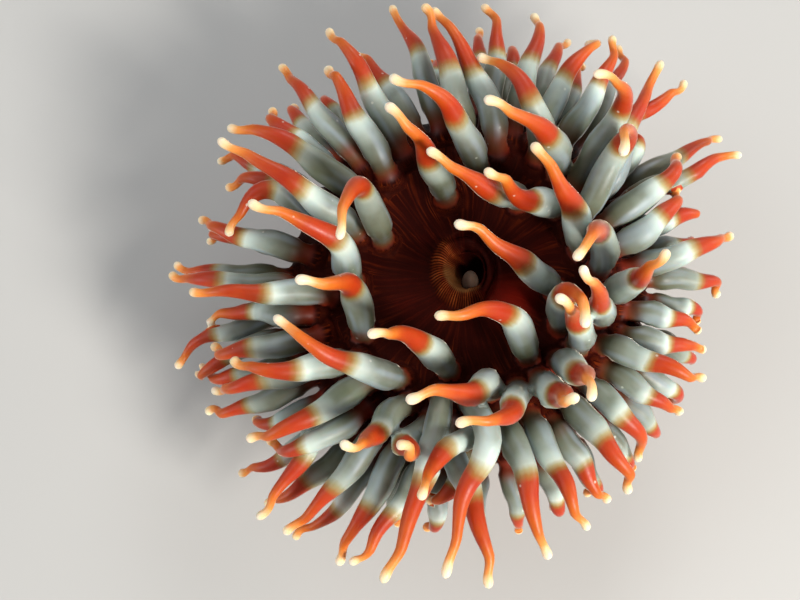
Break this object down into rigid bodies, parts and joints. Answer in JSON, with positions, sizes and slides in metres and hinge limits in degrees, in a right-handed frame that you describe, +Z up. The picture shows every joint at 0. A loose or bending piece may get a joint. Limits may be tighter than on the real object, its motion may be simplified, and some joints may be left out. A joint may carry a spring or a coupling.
{
  "type": "sea anemone",
  "caption": "Life-size still model of a dahlia-type sea anemone: a short column on a flat foot, an oral disc with a fluted mouth, and a crown of banded tentacles.",
  "frame": {"origin": "centre of the foot, on the floor that it stands on", "axes": "+Z up, away from the floor and out of the mouth; +X and +Y lie in the floor"},
  "size_m": [0.117, 0.124, 0.07],
  "materials": {
    "column_skin": "wet, satin, with raised warts",
    "disc_skin": "wet, smooth, finely streaked",
    "lip_skin": "wet, fluted",
    "tentacle_stem": "wet, translucent, smooth",
    "tentacle_tip": "wet, smooth",
    "tentacle_skin": "wet, smooth, grey below and red towards a cream tip"
  },
  "bodies": {
    "root": {"pedal_disc": "column_skin", "column": "column_skin", "collar": "column_skin", "oral_disc": "disc_skin", "mouth_lips": "lip_skin", "tentacle_inner_01_base": "tentacle_stem", "tentacle_inner_01_tip": "tentacle_tip", "tentacle_inner_02_base": "tentacle_stem", "tentacle_inner_02_tip": "tentacle_tip", "tentacle_inner_03_base": "tentacle_stem", "tentacle_inner_03_tip": "tentacle_tip", "tentacle_inner_04_base": "tentacle_stem", "tentacle_inner_04_tip": "tentacle_tip", "tentacle_inner_05_base": "tentacle_stem", "tentacle_inner_05_tip": "tentacle_tip", "tentacle_inner_06_base": "tentacle_stem", "tentacle_inner_06_tip": "tentacle_tip", "tentacle_inner_07_base": "tentacle_stem", "tentacle_inner_07_tip": "tentacle_tip", "tentacle_inner_08_base": "tentacle_stem", "tentacle_inner_08_tip": "tentacle_tip", "tentacle_inner_09_base": "tentacle_stem", "tentacle_inner_09_tip": "tentacle_tip", "tentacle_inner_10_base": "tentacle_stem", "tentacle_inner_10_tip": "tentacle_tip", "tentacle_inner_11_base": "tentacle_stem", "tentacle_inner_11_tip": "tentacle_tip", "tentacle_inner_12_base": "tentacle_stem", "tentacle_inner_12_tip": "tentacle_tip", "tentacle_second_01": "tentacle_skin", "tentacle_second_02": "tentacle_skin", "tentacle_second_03": "tentacle_skin", "tentacle_second_04": "tentacle_skin", "tentacle_second_05": "tentacle_skin", "tentacle_second_06": "tentacle_skin", "tentacle_second_07": "tentacle_skin", "tentacle_second_08": "tentacle_skin", "tentacle_second_09": "tentacle_skin", "tentacle_second_10": "tentacle_skin", "tentacle_second_11": "tentacle_skin", "tentacle_second_12": "tentacle_skin", "margin_01": "tentacle_skin", "margin_02": "tentacle_skin", "margin_03": "tentacle_skin", "margin_04": "tentacle_skin", "margin_05": "tentacle_skin", "margin_06": "tentacle_skin", "margin_07": "tentacle_skin", "margin_08": "tentacle_skin", "margin_09": "tentacle_skin", "margin_10": "tentacle_skin", "margin_11": "tentacle_skin", "margin_12": "tentacle_skin"}
  },
  "joints": []
}
